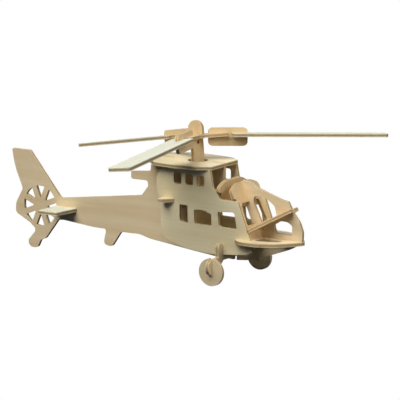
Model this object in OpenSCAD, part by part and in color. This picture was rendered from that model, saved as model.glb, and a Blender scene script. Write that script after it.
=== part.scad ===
// Flat-pack plywood helicopter model: slotted plates, and a rotor that turns on the mast.
// Millimetres. +X is the nose, +Y is port, +Z is up; the ground is z = 0 and the mast foot x = y = 0.

/* [Plywood] */
// Thickness of every plate
t = 3; // [2:0.1:4]
// Play left in every slot
play = 0.1; // [0:0.05:0.3]

/* [Fuselage] */
// Outer width over the two side panels
body_width = 43.7; // [40:0.1:50]
// Underside of the roof plate
roof_z = 92.3; // [85:0.1:100]
// Top of the nose floor plate
floor_top = 38; // [34:0.5:42]
// Underside of the cross plate that ends in the winglets
cross_z = 62; // [58:0.5:66]
// Rear former, middle of its thickness
arch_rear_x = 34; // [32:0.5:36]
// Lean of the front former behind the vertical
arch_lean = 22.94; // [15:0.1:30]
// Front former, foot of its front face on the nose floor
arch_front_x = 63.75; // [60:0.25:68]
// Rise of the nose visor towards the front
visor_rise = 30; // [20:1:40]

/* [Tail] */
// Centre of the tail fan opening, along the body
fan_x = -163.3; // [-170:0.1:-155]
// Centre of the tail fan opening, above the ground
fan_z = 38; // [30:0.5:45]
// Radius of the tail fan opening
fan_hole_r = 17.7; // [15:0.1:20]
// Blades of the tail fan
fan_blades = 8; // [6:1:10]
// Underside of the stabilizer
stab_z = 37; // [34:0.5:42]

/* [Landing gear] */
// Gear plate, middle of its thickness
gear_x = 38.5; // [34:0.5:44]
// Wheel radius
wheel_r = 11.5; // [9:0.5:14]
// Middle of each wheel from the centre plane
wheel_y = 37.5; // [34:0.5:42]

/* [Rotor] */
// Lean of the mast and of the whole rotor
lean = 6.6; // [0:0.05:10]
// Heading of that lean
lean_dir = 161.7; // [0:0.1:360]
// Droop of each grip and blade below the hub plate
droop = 4.35; // [0:0.05:8]
// Heading of the first blade
blade_dir = 41.2; // [0:0.1:120]
// Tip radius of the blades
rotor_r = 161.4; // [140:0.1:180]
// Width of a blade
blade_w = 18.8; // [15:0.1:24]
// Radius at which a blade begins
blade_root = 29.4; // [28:0.1:34]
// Underside of the hub plate along the mast
hub_z = 113.7; // [112:0.1:118]
// Reach of each hub arm
arm_r = 26; // [22:0.5:28]
// Width of the mast plate
mast_w = 15.6; // [12:0.1:16]
// Radius of the mast hole in the roof
mast_hole_r = 8.53; // [8:0.01:10]
// Radius of the hub plate's hole around the mast's neck
hub_hole_r = 4.1; // [3.9:0.05:5]

/* [Hidden] */
$fn = 64;
e = 0.01;
s = t + play;
py = body_width / 2 - t / 2;
roof_top = roof_z + t;
ply = [0.84, 0.75, 0.57];
ply_warm = [0.83, 0.68, 0.46];

// Corner tables hold [across, up, corner radius].
fin = [[-194, 86.1, 1.5], [-174.4, 86.1, 2.5], [-141.4, 47.3, 4]];
boom_top = [[-56, 59.3, 3], [-49.4, 67.8, 2], [-49.6, 72.7, 2.4]];
exhaust = [[-66.8, 72.4, 2], [-66.8, 79.1, 0.8], [-47, 81.1, 1.2]];
cabin_back = [[-46.4, 86.6, 2], [-43, roof_z, 0], [-36, roof_z, 0], [-36, roof_top, 0.5],
  [-24, roof_top, 0.5], [-24, roof_z, 0], [14, roof_z, 0], [14, roof_top, 0],
  [26.8, roof_top, 0.5], [26.8, 79, 1.5], [44, 76.4, 0]];
nose_top = [[44.2, 83.4, 0], [51.8, 82.2, 8], [60.5, 78, 10], [83, 70.9, 4], [88.9, 70, 1.2],
  [93.4, 62, 2]];
nose_tip = [[99.8, 54.2, 9], [103.1, 46, 8], [102.6, 37, 5]];
belly = [[91.5, 30.4, 20], [64.7, 20.2, 20], [50.7, 16.5, 15], [40.4, 15.4, 3], [19.2, 15.9, 10],
  [-10.4, 18.8, 10], [-47.1, 22.7, 15], [-58, 25.4, 8], [-77.5, 24.9, 3]];
strut = [[-87, 10.9, 3.6], [-95.7, 12, 3.4], [-92.6, 25.7, 2]];
boom_base = [[-106, 25.7, 10], [-138, 28.3, 6], [-144.2, 27.5, 3]];
bumper = [[-157.8, 9.6, 6], [-163.4, 7.3, 3], [-166.6, 0, 4.6], [-176.6, 0, 4.8],
  [-176.3, 6.4, 2.6], [-168.8, 14.8, 2.2], [-169.4, 17.6, 2]];
ring_back = [[-174.5, 21.7, 4], [-190.4, 29.4, 4.5], [-189.6, 38.5, 6], [-182.4, 51.4, 3],
  [-190.8, 70.5, 30]];
keel_edge = concat(fin, boom_top, exhaust, cabin_back, nose_top, nose_tip, belly, strut,
  boom_base, bumper, ring_back);
cabin_hole = [[-6, 34, 3], [-6, 57, 3], [14, 57, 3], [20, 62, 3], [49, 62, 2.5], [60.7, 34, 3]];
upper_nose_hole = [[64.1, 43.4, 0.5], [64.1, 48.4, 1.5], [55.8, 65.5, 1.5], [56.4, 71.4, 2.5],
  [66.4, 71.4, 5], [76.2, 65.2, 6], [78.6, 56, 0.5], [78.6, 52.4, 0.5]];
lower_nose_hole = [[76.9, 42.3, 1.5], [75.6, 49.8, 1.2], [82, 53.2, 3], [88.5, 53.2, 5],
  [93.2, 50.4, 2.5], [93.2, 42.3, 1.5]];

panel_edge = [[-19.6, roof_z, 0], [-26.8, 82.5, 8], [-27, 73, 8], [-22.7, 61, 4], [-22.1, 37, 5],
  [-17.5, 30.4, 6], [0, 24.6, 30], [28, 22.3, 30], [61, 25.8, 6], [69.6, 30.2, 3.5],
  [62.5, 44.5, 10], [53, 69.1, 2], [35.6, 69.1, 1.8], [32.6, 74.2, 2], [28.4, 77.8, 2.4],
  [25.5, roof_z, 0]];
door_hole = [[-3.9, 60.7, 0.8], [4.3, 60.9, 1.5], [4.6, 46, 0.8], [-3.7, 46, 3.5]];
mid_hole = [[10.3, 57.6, 1], [18.5, 59, 12], [27.5, 56.2, 1.5], [28.1, 46, 0.8], [10.9, 46, 1.5]];
front_hole = [[33.6, 58.6, 1.5], [50.1, 60, 3], [52.6, 46, 1], [34.9, 46, 3]];

roof_half = [[26.8, 20.5, 3], [16, 27.4, 12], [-8, 30, 30], [-25, 28.4, 8], [-45.2, 11, 8]];
cross_half = [[12, 9, 4], [-9, 18, 0], [-9, 22, 0], [-16.6, 30.4, 1.4], [-20.6, 30, 1.4],
  [-20, 22, 0], [-20, 15, 0]];
floor_half = [[50, 18.8, 0], [50.9, 22, 0], [57, 27.7, 4], [64, 29.7, 8], [77, 27.4, 14],
  [89, 20.6, 12], [97.6, 10.4, 10], [103.5, 1.8, 1.2]];
floor_hole = [[67, 19.2, 2.5], [67.8, 6.5, 3], [89, 6.5, 2], [86.5, 12.4, 4], [75, 17.4, 8]];
arch_front_half = [[18.7, 0, 0], [18.7, 35.6, 0], [21, 35.6, 0.8], [21, 44.2, 5],
  [10, 48.6, 14]];
arch_front_hole = [[1.4, 11.5, 0], [15.8, 12, 2], [13.6, 31, 2], [1.4, 31, 0]];
arch_rear_half = [[14, 63, 2.5], [17.2, 68, 2], [18.7, 74.5, 0], [22.4, 74.5, 1], [21.6, 79, 4],
  [12, 83.4, 14]];
visor_half = [[0, 21.6, 0.6], [35.8, 7.4, 1.6]];
gear_half = [[18.76, 30, 0.4], [18.76, 26.5, 0], [21.92, 26.5, 0], [22.3, 33.6, 3],
  [30.5, 33.6, 3.6], [29.2, 22, 1.5], [44.5, 22, 6], [44.5, 9.3, 5.8], [34, 9.3, 4],
  [24.6, 16.5, 3], [21.5, 19, 3]];

function unit(v) = v / norm(v);
function cross2(a, b) = a[0] * b[1] - a[1] * b[0];
// Points of one corner c between neighbours a and b, rounded to radius r.
function corner(a, c, b, r) = r <= 0 ? [c] :
  let (u = unit(a - c), v = unit(b - c), half = acos(u * v) / 2,
       o = c + unit(u + v) * r / sin(half), from = c + u * (r / tan(half)) - o,
       turn = sign(cross2(from, c + v * (r / tan(half)) - o)) * (180 - 2 * half),
       n = max(1, ceil(abs(turn) / 14)), a0 = atan2(from[1], from[0]))
  [for (i = [0:n]) o + r * [cos(a0 + turn * i / n), sin(a0 + turn * i / n)]];
function xy(p) = [p[0], p[1]];
// Closed outline from a corner table.
function outline(c) = [for (i = [0:len(c) - 1])
  each corner(xy(c[(i + len(c) - 1) % len(c)]), xy(c[i]), xy(c[(i + 1) % len(c)]), c[i][2])];
// A corner table closed by its mirror image: in y for plan shapes, in x for upright ones.
function both_y(c) = concat(c, [for (i = [len(c) - 1:-1:0]) [c[i][0], -c[i][1], c[i][2]]]);
function both_x(c) = concat(c, [for (i = [len(c) - 1:-1:0]) [-c[i][0], c[i][1], c[i][2]]]);

module shape(c) polygon(outline(c));
// A plate along the body, across it, or level, from a flat shape.
module along(y, h = t) translate([0, y + h / 2, 0]) rotate([90, 0, 0]) linear_extrude(h) children();
module across(x, h = t) translate([x - h / 2, 0, 0]) rotate([90, 0, 90]) linear_extrude(h) children();
module level(z, h = t) translate([0, 0, z]) linear_extrude(h) children();
module box(x0, x1, y0, y1, z0, z1) translate([x0, y0, z0]) cube([x1 - x0, y1 - y0, z1 - z0]);
module round_box(x0, x1, z0, z1, r)
  shape([[x0, z0, r], [x0, z1, r], [x1, z1, r], [x1, z0, r]]);

// The frames of the leaning mast, the leaning front former and the rising visor.
module on_mast() translate([0, 0, roof_top]) rotate([0, 0, lean_dir]) rotate([0, lean, 0])
  rotate([0, 0, -lean_dir]) translate([0, 0, -roof_top]) children();
module on_arch() translate([arch_front_x, 0, floor_top]) rotate([0, -arch_lean, 0]) children();
module on_visor() translate([62, 0, 47]) rotate([0, -visor_rise, 0]) children();
module on_blade(i) on_mast() rotate([0, 0, blade_dir + i * 120]) translate([20, 0, hub_z + t / 2])
  rotate([0, droop, 0]) translate([-20, 0, -hub_z - t / 2]) children();
module on_arm(i) on_mast() rotate([0, 0, blade_dir + i * 120]) children();

// The piece to draw

module keel() color(ply) difference() {
  along(0) difference() {
    shape(keel_edge);
    shape(cabin_hole);
    shape(upper_nose_hole);
    shape(lower_nose_hole);
  }
  translate([fan_x, 0, fan_z]) rotate([90, 0, 0]) cylinder(r = fan_hole_r, h = 20, center = true);
  box(-146.05, -123.95, -5, 5, stab_z - play / 2, stab_z + t + play / 2);
  box(-20.05, 12.05, -5, 5, cross_z - play / 2, cross_z + t + play / 2);
  box(gear_x - s / 2, gear_x + s / 2, -5, 5, 10, 23);
  box(arch_rear_x - s / 2, arch_rear_x + s / 2, -5, 5, 71, 90);
  box(78, 110, -5, 5, floor_top - t - play / 2, floor_top + play / 2);
  on_arch() box(-t - play / 2, play / 2, -5, 5, 38, 60);
  on_visor() box(-play, 26.6, -5, 5, -t - play / 2, play / 2);
  difference() {
    on_mast() box(-s / 2, s / 2, -9, 9, 60, 110);
    box(-40, 40, -20, 20, 40, 84);
  }
}

module tail_fan() color(ply) translate([fan_x, t / 2, fan_z]) rotate([90, 0, 0])
  linear_extrude(t) intersection() {
    circle(r = fan_hole_r - play / 2);
    union() {
      circle(r = 7.6);
      for (i = [0:fan_blades - 1]) rotate((i + 0.5) * 360 / fan_blades)
        translate([0, -2.5]) square([fan_hole_r, 5]);
    }
  }

module stabilizer() color(ply) level(stab_z)
  shape([[-124, 0, 0], [-127.2, 26.6, 1], [-146, 28, 1], [-146, -28, 1], [-127.2, -26.6, 1]]);

module side_panel(y) color(ply) difference() {
  along(y) difference() {
    shape(panel_edge);
    for (x = [-9.7, 1.8, 12.8]) round_box(x, x + 7.7, 77.8, 87.2, 2);
    shape(door_hole);
    shape(mid_hole);
    shape(front_hole);
  }
  box(-20.05, -8.95, -40, 40, cross_z - play / 2, cross_z + t + play / 2);
  box(gear_x - s / 2, gear_x + s / 2, -40, 40, 10, 26.5);
  box(59, 90, -40, 40, floor_top - t - play / 2, floor_top + play / 2);
}
module panel_right() side_panel(-py);
module panel_left() side_panel(py);

module roof() color(ply) level(roof_z) difference() {
  shape(both_y(roof_half));
  circle(r = mast_hole_r);
  translate([14 - play / 2, -s / 2]) square([20, s]);
  translate([-36 - play / 2, -s / 2]) square([12 + play, s]);
}

module cross_plate() color(ply) level(cross_z) shape(both_y(cross_half));

module arch_rear() color(ply_warm) across(arch_rear_x) difference() {
  shape(both_x(arch_rear_half));
  translate([-s / 2, 60]) square([s, 11]);
}

module arch_front() color(ply_warm) difference() {
  on_arch() translate([-t, 0, 0]) rotate([90, 0, 90]) linear_extrude(t) difference() {
    shape(both_x(arch_front_half));
    shape(arch_front_hole);
    mirror([1, 0]) shape(arch_front_hole);
    translate([-s / 2, -5]) square([s, 43]);
  }
  box(50, 80, -30, 30, 20, floor_top);
}

module nose_visor() color(ply_warm) on_visor() translate([0, 0, -t]) linear_extrude(t)
  difference() {
    shape(both_y(visor_half));
    translate([26.6, -s / 2]) square([20, s]);
  }

module nose_floor() color(ply) level(floor_top - t) difference() {
  shape(both_y(floor_half));
  shape(floor_hole);
  mirror([0, 1]) shape(floor_hole);
  translate([40, -s / 2]) square([38, s]);
  for (y = [-py, py]) translate([40, y - s / 2]) square([19, s]);
}

module gear_plate() color(ply) across(gear_x) difference() {
  shape(both_x(gear_half));
  translate([-s / 2, 23]) square([s, 20]);
  for (y = [-wheel_y, wheel_y]) translate([y - s / 2, 0]) square([s, 15.6]);
}

module wheel(y) color(ply) difference() {
  translate([gear_x, y, wheel_r]) rotate([90, 0, 0]) cylinder(r = wheel_r, h = t, center = true);
  box(gear_x - s / 2, gear_x + s / 2, y - t, y + t, 15.6, 40);
}
module wheel_right() wheel(-wheel_y);
module wheel_left() wheel(wheel_y);

module mast_plate() color(ply_warm) difference() {
  on_mast() across(0) difference() {
    union() {
      translate([-mast_w / 2, 50]) square([mast_w, hub_z - play - 50]);
      translate([-3.5, 100]) square([7, hub_z + t - 100]);
    }
    translate([-s / 2, hub_z - 4.7]) square([s, 20]);
  }
  box(-20, 20, -s / 2, s / 2, 40, 84);
  box(-20, 20, -20, 20, 40, cross_z + t);
}

module mast_cap() color(ply_warm) on_mast() along(0) {
  intersection() {
    translate([0, hub_z + 8]) circle(r = 7);
    translate([-7, hub_z + t + 0.25]) square([14, 14]);
  }
  translate([-7, hub_z + t + 0.25]) square([14, 4.8]);
  translate([-3.5, hub_z]) square([7, 4]);
  translate([-t / 2, hub_z - 2.5]) square([t, 4]);
}

module hub_plate() color(ply) on_mast() level(hub_z) difference() {
  union() {
    circle(r = 8.6);
    for (i = [0:2]) rotate(blade_dir + i * 120)
      shape([[0, -6, 0], [arm_r, -6, 1], [arm_r, 6, 1], [0, 6, 0]]);
  }
  circle(r = hub_hole_r);
}

module grip(i) color(ply_warm) difference() {
  on_blade(i) difference() {
    along(0) round_box(10, 43, hub_z - 8, hub_z + 7.4, 3.6);
    box(blade_root, 50, -5, 5, hub_z - play / 2, hub_z + t + play / 2);
  }
  on_arm(i) box(0, arm_r + play / 2, -5, 5, hub_z - play / 2, hub_z + t + play / 2);
}
module grip_a() grip(0);
module grip_b() grip(1);
module grip_c() grip(2);

module blade(i) color(ply) on_blade(i) level(hub_z)
  shape([[blade_root, -blade_w / 2, 0.8], [blade_root, blade_w / 2, 0.8],
    [rotor_r, blade_w / 2, 2.5], [rotor_r, -blade_w / 2, 2.5]]);
module blade_a() blade(0);
module blade_b() blade(1);
module blade_c() blade(2);

keel();
tail_fan();
stabilizer();
panel_right();
panel_left();
roof();
cross_plate();
arch_rear();
arch_front();
nose_visor();
nose_floor();
gear_plate();
wheel_right();
wheel_left();
mast_plate();
mast_cap();
hub_plate();
grip_a();
grip_b();
grip_c();
blade_a();
blade_b();
blade_c();
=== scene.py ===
"""Looks of the slot-together plywood model helicopter: veneer grain, layered edges, light and camera."""

import logging
import math
from dataclasses import dataclass, field
from enum import Enum

import bpy
from mathutils import Matrix, Vector

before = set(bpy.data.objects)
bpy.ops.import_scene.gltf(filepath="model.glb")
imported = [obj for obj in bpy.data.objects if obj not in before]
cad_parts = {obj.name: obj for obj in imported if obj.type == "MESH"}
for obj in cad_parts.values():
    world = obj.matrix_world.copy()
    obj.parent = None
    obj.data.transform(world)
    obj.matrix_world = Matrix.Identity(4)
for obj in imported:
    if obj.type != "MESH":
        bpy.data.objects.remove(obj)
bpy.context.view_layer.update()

log = logging.getLogger("plywood_helicopter")
logging.basicConfig(level=logging.INFO, format="%(message)s")

MM = 0.001
SHEET = 3.0  # thickness of every plate, mm
EDGE_ROUND = 0.16  # sanding radius of the cut edges, mm
EDGE_STEPS = 2  # facets in a rounded edge
EDGE_ANGLE = 35.0  # edges that turn by more than this are rounded, degrees
MERGE = 0.004  # distance under which mesh corners are one corner, mm
SEED_STEP = 3.7  # how far apart two plates are cut in the sheet
MIX_A, MIX_B, MIX_RESULT = 6, 7, 2  # colour sockets of a mix node

ALONG = Vector((1.0, 0.0, 0.0))
SIDEWAYS = Vector((0.0, 1.0, 0.0))
UPWARD = Vector((0.0, 0.0, 1.0))


class Veneer(Enum):
    """The boards that the plates are cut from, by the wood of their faces."""

    BIRCH = "birch"
    BASSWOOD = "basswood"
    POPLAR = "poplar"
    LINDEN = "linden"


@dataclass(frozen=True)
class Grain:
    """One layer of grain: length and width in mm, octaves, the noise it fades in between, and strength."""

    length: float
    width: float
    octaves: float
    faint: float
    full: float
    strength: float


@dataclass(frozen=True)
class PlywoodFinish:
    """Bare laser-cut three-ply board: colours are sRGB hex, lengths are millimetres."""

    title: str
    face: str
    shade: str
    fleck: str
    outer_ply: str
    glue_line: str
    core_ply: str
    roughness: float = 0.5
    ior: float = 1.45
    # Real fibres and pores are finer than this, and are drawn this coarse so that they show.
    figure: Grain = Grain(length=110.0, width=9.0, octaves=2.0, faint=0.36, full=0.66, strength=0.8)
    fibre: Grain = Grain(length=16.0, width=0.9, octaves=3.0, faint=0.3, full=0.7, strength=0.14)
    pore: Grain = Grain(length=5.0, width=0.5, octaves=1.0, faint=0.66, full=0.8, strength=0.35)
    grain_raggedness: float = 0.55
    fibre_relief: float = 0.25
    fibre_height: float = 0.06
    veneer_depth: float = 1.36  # from the middle of the sheet to where the face starts
    glue_depth: float = 0.55  # from the middle of the sheet to the glue line
    core_fade: float = 0.08  # glue line's fade into the core, as a share of half the sheet
    outer_fade: float = 0.12  # and into the outer ply
    waver_rate: float = 0.22  # waves in the layers per mm
    waver_depth: float = 0.13
    end_grain_rate: float = 1.3  # end-grain streaks per mm
    end_grain_noise: tuple[float, float] = (0.3, 0.7)
    end_grain_tone: tuple[float, float] = (0.78, 1.12)


# Sanded birch-faced plywood: pale straw faces with faint long grain, and edges whose core ply
# runs across the outer two, so it shows as a darker stripe of end grain.
SANDED_BIRCH_PLY = PlywoodFinish(
    title="sanded_birch_plywood", face="#E8D3AB", shade="#DABF92", fleck="#BFA276",
    outer_ply="#E2CC9F", glue_line="#7D6140", core_ply="#C2A577")
# The same board with a basswood face: honey coloured and warmer than birch.
SANDED_BASSWOOD_PLY = PlywoodFinish(
    title="sanded_basswood_plywood", face="#E9CE9E", shade="#DBB985", fleck="#BB9765",
    outer_ply="#E1C391", glue_line="#7A5C3A", core_ply="#BC9A68")
# The same board with a poplar face: creamy white with a hint of green and hardly any grain.
SANDED_POPLAR_PLY = PlywoodFinish(
    title="sanded_poplar_plywood", face="#E4E3CC", shade="#D9D6BA", fleck="#C6BB97",
    outer_ply="#EBDDB9", glue_line="#5E482E", core_ply="#B89C6F")
# The same board with a linden face: pale cream with a cooler cast than birch, grain very faint. On the roof
# its paleness is partly painted light, brightening the top against the rotor's cast shadow.
SANDED_LINDEN_PLY = PlywoodFinish(
    title="sanded_linden_plywood", face="#F0E2BA", shade="#E2CFA0", fleck="#C7B083",
    outer_ply="#E6D2A4", glue_line="#6E5436", core_ply="#B3966A")

FINISHES = {
    Veneer.BIRCH: SANDED_BIRCH_PLY,
    Veneer.BASSWOOD: SANDED_BASSWOOD_PLY,
    Veneer.POPLAR: SANDED_POPLAR_PLY,
    Veneer.LINDEN: SANDED_LINDEN_PLY,
}


def linear(colour: str) -> tuple[float, float, float, float]:
    """Turn an sRGB hex colour to linear light.

    Args:
        colour: "#RRGGBB".

    Returns:
        Linear red, green, blue and an alpha of 1.
    """
    values = [int(colour[i:i + 2], 16) / 255 for i in (1, 3, 5)]
    red, green, blue = (v / 12.92 if v <= 0.04045 else ((v + 0.055) / 1.055) ** 2.4 for v in values)
    return red, green, blue, 1.0


def add_node(tree: bpy.types.NodeTree, kind: str, inputs: dict | None = None, **settings) -> bpy.types.Node:
    """Add a shader node with its settings, values and links.

    Args:
        tree: the node tree to add to.
        kind: the node's type name.
        inputs: value or output socket for each input, by name or number.
        **settings: the node's own properties.

    Returns:
        The new node.
    """
    node = tree.nodes.new(kind)
    for name, value in settings.items():
        setattr(node, name, value)
    for key, value in (inputs or {}).items():
        if isinstance(value, bpy.types.NodeSocket):
            tree.links.new(value, node.inputs[key])
        else:
            node.inputs[key].default_value = value
    return node


@dataclass
class Plate:
    """One flat plywood piece: a point in the middle of its thickness (mm), its grain and its face."""

    node: str
    middle: Vector
    grain: Vector
    normal: Vector
    veneer: Veneer = Veneer.BIRCH

    def axes(self) -> Matrix:
        """Return the rotation whose columns are the grain, the way across it and the face normal."""
        normal = self.normal.normalized()
        grain = (self.grain - self.grain.dot(normal) * normal).normalized()
        return Matrix((grain, normal.cross(grain), normal)).transposed()

    def face_colour(self, tree: bpy.types.NodeTree, place: bpy.types.NodeSocket, finish: PlywoodFinish,
                    seed: float) -> tuple[bpy.types.NodeSocket, bpy.types.NodeSocket]:
        """Draw the veneer: a broad soft figure, fine fibres and short darker pores along the grain.

        Args:
            tree: the material's nodes.
            place: position in the plate's own frame, mm.
            finish: the board's colours and sizes.
            seed: where in the sheet the plate is cut.

        Returns:
            The colour and the fibre height.
        """
        streaks = []
        for grain in (finish.figure, finish.fibre, finish.pore):
            stretched = add_node(tree, "ShaderNodeVectorMath", {
                0: place, 1: (1 / grain.length, 1 / grain.width, 1 / grain.width)}, operation="MULTIPLY")
            streaks.append(add_node(tree, "ShaderNodeTexNoise", {
                "Vector": stretched.outputs[0], "W": seed, "Scale": 1.0, "Detail": grain.octaves,
                "Roughness": finish.grain_raggedness}, noise_dimensions="4D").outputs[0])
        figure, fibre, pore = streaks
        broad = add_node(tree, "ShaderNodeMapRange", {
            "Value": figure, "From Min": finish.figure.faint, "From Max": finish.figure.full,
            "To Min": 0.0, "To Max": finish.figure.strength})
        fine = add_node(tree, "ShaderNodeMapRange", {
            "Value": fibre, "From Min": finish.fibre.faint, "From Max": finish.fibre.full,
            "To Min": -finish.fibre.strength, "To Max": finish.fibre.strength})
        depth = add_node(tree, "ShaderNodeMath", {0: broad.outputs[0], 1: fine.outputs[0]}, use_clamp=True)
        flat = add_node(tree, "ShaderNodeMix", {
            "Factor": depth.outputs[0], MIX_A: linear(finish.face), MIX_B: linear(finish.shade)},
            data_type="RGBA")
        sparse = add_node(tree, "ShaderNodeMapRange", {
            "Value": pore, "From Min": finish.pore.faint, "From Max": finish.pore.full,
            "To Min": 0.0, "To Max": finish.pore.strength})
        flecked = add_node(tree, "ShaderNodeMix", {
            "Factor": sparse.outputs[0], MIX_A: flat.outputs[MIX_RESULT], MIX_B: linear(finish.fleck)},
            data_type="RGBA")
        return flecked.outputs[MIX_RESULT], fibre

    def edge_colour(self, tree: bpy.types.NodeTree, place: bpy.types.NodeSocket, depth: bpy.types.NodeSocket,
                    finish: PlywoodFinish, seed: float) -> bpy.types.NodeSocket:
        """Draw the cut edge: pale outer plies, thin glue lines and a darker core with end-grain streaks.

        Args:
            tree: the material's nodes.
            place: position in the plate's own frame, mm.
            depth: distance from the middle of the thickness, mm.
            finish: the board's colours and sizes.
            seed: where in the sheet the plate is cut.

        Returns:
            The colour.
        """
        half = SHEET / 2
        waver = add_node(tree, "ShaderNodeTexNoise", {
            "Vector": place, "W": seed, "Scale": finish.waver_rate, "Detail": 1.0}, noise_dimensions="4D")
        shift = add_node(tree, "ShaderNodeMapRange", {
            "Value": waver.outputs[0], "To Min": -finish.waver_depth, "To Max": finish.waver_depth})
        layer = add_node(tree, "ShaderNodeMath", {0: depth, 1: shift.outputs[0]})
        scaled = add_node(tree, "ShaderNodeMath", {0: layer.outputs[0], 1: half}, operation="DIVIDE")
        ramp = add_node(tree, "ShaderNodeValToRGB", {"Fac": scaled.outputs[0]})
        glue = finish.glue_depth / half
        stops = ((0.0, finish.core_ply), (glue - finish.core_fade, finish.core_ply), (glue, finish.glue_line),
                 (glue + finish.outer_fade, finish.outer_ply), (1.0, finish.outer_ply))
        for position, _ in stops[1:-1]:
            ramp.color_ramp.elements.new(position)
        for element, (position, colour) in zip(ramp.color_ramp.elements, stops):
            element.position = position
            element.color = linear(colour)
        end_grain = add_node(tree, "ShaderNodeTexNoise", {
            "Vector": place, "W": seed, "Scale": finish.end_grain_rate, "Detail": 2.0}, noise_dimensions="4D")
        low, high = finish.end_grain_noise
        dark, light = finish.end_grain_tone
        tone = add_node(tree, "ShaderNodeMapRange", {
            "Value": end_grain.outputs[0], "From Min": low, "From Max": high,
            "To Min": dark, "To Max": light})
        return add_node(tree, "ShaderNodeVectorMath", {
            0: ramp.outputs[0], "Scale": tone.outputs[0]}, operation="SCALE").outputs[0]

    def material(self, seed: float) -> bpy.types.Material:
        """Make the plate's own plywood, its layers and grain laid along the plate.

        Args:
            seed: where in the sheet the plate is cut.

        Returns:
            The material.
        """
        finish = FINISHES[self.veneer]
        made = bpy.data.materials.new(f"{finish.title}_{self.node}")
        made.use_nodes = True
        tree = made.node_tree
        tree.nodes.clear()
        where = add_node(tree, "ShaderNodeTexCoord")
        place = add_node(tree, "ShaderNodeMapping", {
            "Vector": where.outputs["Object"], "Location": self.middle * MM,
            "Rotation": self.axes().to_euler("XYZ"), "Scale": (MM, MM, MM)}, vector_type="TEXTURE").outputs[0]
        split = add_node(tree, "ShaderNodeSeparateXYZ", {0: place})
        depth = add_node(tree, "ShaderNodeMath", {0: split.outputs[2]}, operation="ABSOLUTE").outputs[0]
        on_face = add_node(tree, "ShaderNodeMath", {
            0: depth, 1: finish.veneer_depth}, operation="GREATER_THAN")
        face, fibre = self.face_colour(tree, place, finish, seed)
        edge = self.edge_colour(tree, place, depth, finish, seed)
        colour = add_node(tree, "ShaderNodeMix", {
            "Factor": on_face.outputs[0], MIX_A: edge, MIX_B: face}, data_type="RGBA")
        bump = add_node(tree, "ShaderNodeBump", {
            "Height": fibre, "Strength": finish.fibre_relief, "Distance": finish.fibre_height * MM})
        wood = add_node(tree, "ShaderNodeBsdfPrincipled", {
            "Base Color": colour.outputs[MIX_RESULT], "Normal": bump.outputs[0],
            "Roughness": finish.roughness, "IOR": finish.ior})
        add_node(tree, "ShaderNodeOutputMaterial", {"Surface": wood.outputs[0]})
        return made

    def dress(self, number: int) -> None:
        """Round the plate's cut edges a little and give it its plywood.

        Args:
            number: the plate's place in the model, which picks its spot in the sheet.
        """
        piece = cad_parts[self.node]
        weld = piece.modifiers.new("one_skin", "WELD")
        weld.merge_threshold = MERGE * MM
        bevel = piece.modifiers.new("sanded_edge", "BEVEL")
        bevel.width = EDGE_ROUND * MM
        bevel.segments = EDGE_STEPS
        bevel.limit_method = "ANGLE"
        bevel.angle_limit = math.radians(EDGE_ANGLE)
        wood = self.material(seed=SEED_STEP * number)
        for slot in piece.material_slots:
            slot.material = wood
        log.info("%s: %s", self.node, wood.name)


@dataclass
class SubAssembly:
    """A group of plates that go together."""

    def plates(self) -> list[Plate]:
        """Return the group's plates."""
        return []


@dataclass
class Fuselage(SubAssembly):
    """Keel, side panels, roof, cross plate and rear former, mm."""

    panel_middle: float = 20.35
    roof_middle: float = 93.8
    cross_middle: float = 63.5
    rear_former: float = 34.0

    def plates(self) -> list[Plate]:
        """Return the fuselage plates."""
        made = [Plate("keel", Vector(), ALONG, SIDEWAYS)]
        for name, side in (("panel_right", -1), ("panel_left", 1)):
            made.append(Plate(name, Vector((0, side * self.panel_middle, 0)), ALONG, SIDEWAYS, Veneer.LINDEN))
        # The roof takes the pale linden board partly for its own wood tone and partly as painted light that
        # brightens its top against the rotor's cast shadow.
        made.append(Plate("roof", UPWARD * self.roof_middle, ALONG, UPWARD, Veneer.LINDEN))
        made.append(Plate("cross_plate", UPWARD * self.cross_middle, SIDEWAYS, UPWARD))
        made.append(Plate("arch_rear", ALONG * self.rear_former, SIDEWAYS, ALONG, Veneer.BASSWOOD))
        return made


@dataclass
class Nose(SubAssembly):
    """Leaning front former, rising visor and nose floor, mm and degrees."""

    floor_top: float = 38.0
    former_foot: float = 63.75
    former_lean: float = 22.94
    visor_hinge: Vector = field(default_factory=lambda: Vector((62.0, 0.0, 47.0)))
    visor_rise: float = 30.0

    def plates(self) -> list[Plate]:
        """Return the nose plates."""
        former = Matrix.Rotation(math.radians(-self.former_lean), 3, "Y")
        visor = Matrix.Rotation(math.radians(-self.visor_rise), 3, "Y")
        foot = Vector((self.former_foot, 0, self.floor_top))
        return [
            Plate("arch_front", foot + former @ (-ALONG * SHEET / 2), former @ UPWARD, former @ ALONG,
                  Veneer.BASSWOOD),
            Plate("nose_visor", self.visor_hinge + visor @ (-UPWARD * SHEET / 2), visor @ ALONG,
                  visor @ UPWARD, Veneer.BASSWOOD),
            Plate("nose_floor", UPWARD * (self.floor_top - SHEET / 2), ALONG, UPWARD)]


@dataclass
class Tail(SubAssembly):
    """Tail fan in the middle plane and stabilizer, mm."""

    stabilizer_middle: float = 38.5

    def plates(self) -> list[Plate]:
        """Return the tail plates."""
        return [Plate("tail_fan", Vector(), ALONG, SIDEWAYS),
                Plate("stabilizer", UPWARD * self.stabilizer_middle, SIDEWAYS, UPWARD, Veneer.POPLAR)]


@dataclass
class LandingGear(SubAssembly):
    """Gear plate and the two wheels pressed onto it, mm."""

    gear_middle: float = 38.5
    wheel_middle: float = 37.5

    def plates(self) -> list[Plate]:
        """Return the landing gear plates."""
        made = [Plate("gear_plate", ALONG * self.gear_middle, SIDEWAYS, ALONG)]
        for name, side in (("wheel_right", -1), ("wheel_left", 1)):
            made.append(Plate(name, SIDEWAYS * side * self.wheel_middle, ALONG, SIDEWAYS))
        return made


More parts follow.
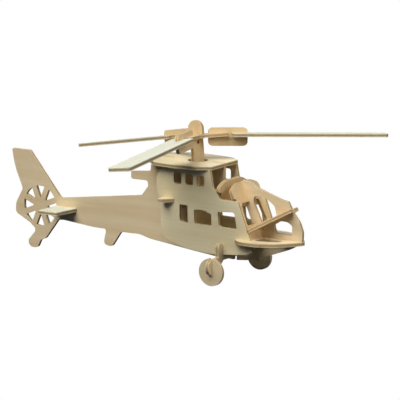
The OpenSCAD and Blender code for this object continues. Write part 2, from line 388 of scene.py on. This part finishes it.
@dataclass
class Mast(SubAssembly):
    """The leaning mast of two crossed plates, mm and degrees."""

    foot: Vector = field(default_factory=lambda: Vector((0.0, 0.0, 95.3)))
    lean: float = 6.6
    heading: float = 161.7

    def turn(self) -> Matrix:
        """Return the rotation that leans the mast."""
        spin = Matrix.Rotation(math.radians(self.heading), 3, "Z")
        return spin @ Matrix.Rotation(math.radians(self.lean), 3, "Y") @ spin.inverted()

    def plates(self) -> list[Plate]:
        """Return the mast plates."""
        turn = self.turn()
        return [Plate("mast_plate", self.foot, turn @ UPWARD, turn @ ALONG, Veneer.BASSWOOD),
                Plate("mast_cap", self.foot, turn @ UPWARD, turn @ SIDEWAYS, Veneer.BASSWOOD)]


@dataclass
class Rotor(SubAssembly):
    """Hub plate, three grips and three drooping blades on the mast, mm and degrees."""

    mast: Mast
    hub_middle: float = 115.2
    droop: float = 4.35
    first_blade: float = 41.2
    blade_pivot: float = 20.0
    arms: str = "abc"

    def plates(self) -> list[Plate]:
        """Return the rotor plates."""
        turn = self.mast.turn()
        rise = self.hub_middle - self.mast.foot.z
        hub = self.mast.foot + turn @ (UPWARD * rise)
        made = [Plate("hub_plate", hub, turn @ ALONG, turn @ UPWARD)]
        step = 360 / len(self.arms)
        for number, letter in enumerate(self.arms):
            arm = turn @ Matrix.Rotation(math.radians(self.first_blade + step * number), 3, "Z")
            pivot = hub + arm @ (ALONG * self.blade_pivot)
            blade = arm @ Matrix.Rotation(math.radians(self.droop), 3, "Y")
            made.append(Plate(f"grip_{letter}", pivot, blade @ ALONG, blade @ SIDEWAYS, Veneer.BASSWOOD))
            made.append(Plate(f"blade_{letter}", pivot, blade @ ALONG, blade @ UPWARD, Veneer.POPLAR))
        return made


@dataclass
class Studio:
    """White table, key lamp high to starboard, weaker lamps ahead and low to port, and the camera.

    Places are in metres, softness and roll in degrees, lens and sensor in mm.
    """

    floor_size: float = 12.0
    key_from: Vector = field(default_factory=lambda: Vector((-0.08, -0.57, 0.81)))
    key_strength: float = 3.3
    key_softness: float = 50.0
    fill_from: Vector = field(default_factory=lambda: Vector((0.85, 0.02, 0.5)))
    fill_strength: float = 1.1
    back_from: Vector = field(default_factory=lambda: Vector((-0.35, 0.85, 0.3)))
    back_strength: float = 1.2
    lamp_softness: float = 35.0
    room_light: float = 0.035
    room_shine: float = 0.45
    camera_place: Vector = field(default_factory=lambda: Vector((1.07784, -1.64795, 0.44703)))
    camera_back: Vector = field(default_factory=lambda: Vector((0.53636, -0.82181, 0.19223)))
    camera_roll: float = 0.437
    lens: float = 216.0
    sensor: float = 36.0
    white: str = "#FFFFFF"
    table_tone: str = "#2C343E"
    room_tone: str = "#C8E2FF"

    def paper(self) -> bpy.types.Material:
        """Make matt table paper: even white to the camera, dark to the model, so it throws little light."""
        made = bpy.data.materials.new("matt_white_paper")
        made.use_nodes = True
        tree = made.node_tree
        tree.nodes.clear()
        path = add_node(tree, "ShaderNodeLightPath")
        matt = add_node(tree, "ShaderNodeBsdfDiffuse", {"Color": linear(self.table_tone)})
        even = add_node(tree, "ShaderNodeEmission", {"Color": linear(self.white), "Strength": 1.0})
        sheet = add_node(tree, "ShaderNodeMixShader", {
            0: path.outputs["Is Camera Ray"], 1: matt.outputs[0], 2: even.outputs[0]})
        add_node(tree, "ShaderNodeOutputMaterial", {"Surface": sheet.outputs[0]})
        return made

    def set_floor(self) -> None:
        """Lay the table under the model."""
        bpy.ops.object.select_all(action="DESELECT")
        bpy.ops.mesh.primitive_plane_add(size=self.floor_size, location=(0, 0, 0))
        floor = bpy.context.object
        floor.name = "table"
        floor.data.materials.append(self.paper())

    def set_room(self) -> None:
        """Fill the room with even light: white to the camera, bluish and much dimmer on the model."""
        world = bpy.data.worlds.new("studio_room")
        world.use_nodes = True
        tree = world.node_tree
        tree.nodes.clear()
        path = add_node(tree, "ShaderNodeLightPath")
        dim = add_node(tree, "ShaderNodeMath", {
            0: path.outputs["Is Glossy Ray"], 1: self.room_shine, 2: self.room_light},
            operation="MULTIPLY_ADD")
        soft = add_node(tree, "ShaderNodeBackground", {
            "Color": linear(self.room_tone), "Strength": dim.outputs[0]})
        white = add_node(tree, "ShaderNodeBackground", {"Color": linear(self.white), "Strength": 1.0})
        room = add_node(tree, "ShaderNodeMixShader", {
            0: path.outputs["Is Camera Ray"], 1: soft.outputs[0], 2: white.outputs[0]})
        add_node(tree, "ShaderNodeOutputWorld", {"Surface": room.outputs[0]})
        bpy.context.scene.world = world

    def hang_lamp(self, name: str, towards: Vector, strength: float, softness: float,
                  shines: bool = True) -> None:
        """Add one far soft lamp.

        Args:
            name: the lamp's name.
            towards: direction from the model to the lamp.
            strength: its light.
            softness: the angle that it fills, degrees.
            shines: whether it shows in the sheen of the wood.
        """
        bpy.ops.object.light_add(type="SUN", location=towards)
        lamp = bpy.context.object
        lamp.name = name
        lamp.rotation_euler = towards.to_track_quat("Z", "Y").to_euler()
        lamp.data.energy = strength
        lamp.data.angle = math.radians(softness)
        lamp.visible_glossy = shines

    def set_camera(self) -> None:
        """Stand the camera ahead of the model, to starboard and a little above."""
        back = self.camera_back.normalized()
        level = UPWARD.cross(back).normalized()
        rise = back.cross(level)
        roll = math.radians(self.camera_roll)
        right = math.cos(roll) * level + math.sin(roll) * rise
        top = math.cos(roll) * rise - math.sin(roll) * level
        bpy.ops.object.camera_add()
        camera = bpy.context.object
        camera.name = "studio_camera"
        turn = Matrix((right, top, back)).transposed()
        camera.matrix_world = Matrix.Translation(self.camera_place) @ turn.to_4x4()
        camera.data.sensor_width = self.sensor
        camera.data.lens = self.lens
        bpy.context.scene.camera = camera

    def build(self) -> None:
        """Set the table, the light and the camera."""
        self.set_floor()
        self.set_room()
        self.hang_lamp("key_lamp", self.key_from, self.key_strength, self.key_softness)
        self.hang_lamp("fill_lamp", self.fill_from, self.fill_strength, self.lamp_softness, shines=False)
        self.hang_lamp("back_lamp", self.back_from, self.back_strength, self.lamp_softness, shines=False)
        self.set_camera()
        bpy.context.scene.view_settings.view_transform = "Standard"
        log.info("studio: table, room light, three lamps and camera")


def main() -> None:
    """Dress every sub-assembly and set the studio."""
    mast = Mast()
    groups = [Fuselage(), Nose(), Tail(), LandingGear(), mast, Rotor(mast)]
    number = 0
    for group in groups:
        log.info("%s", type(group).__name__)
        for plate in group.plates():
            number += 1
            plate.dress(number)
    Studio().build()


if __name__ == "__main__":
    main()
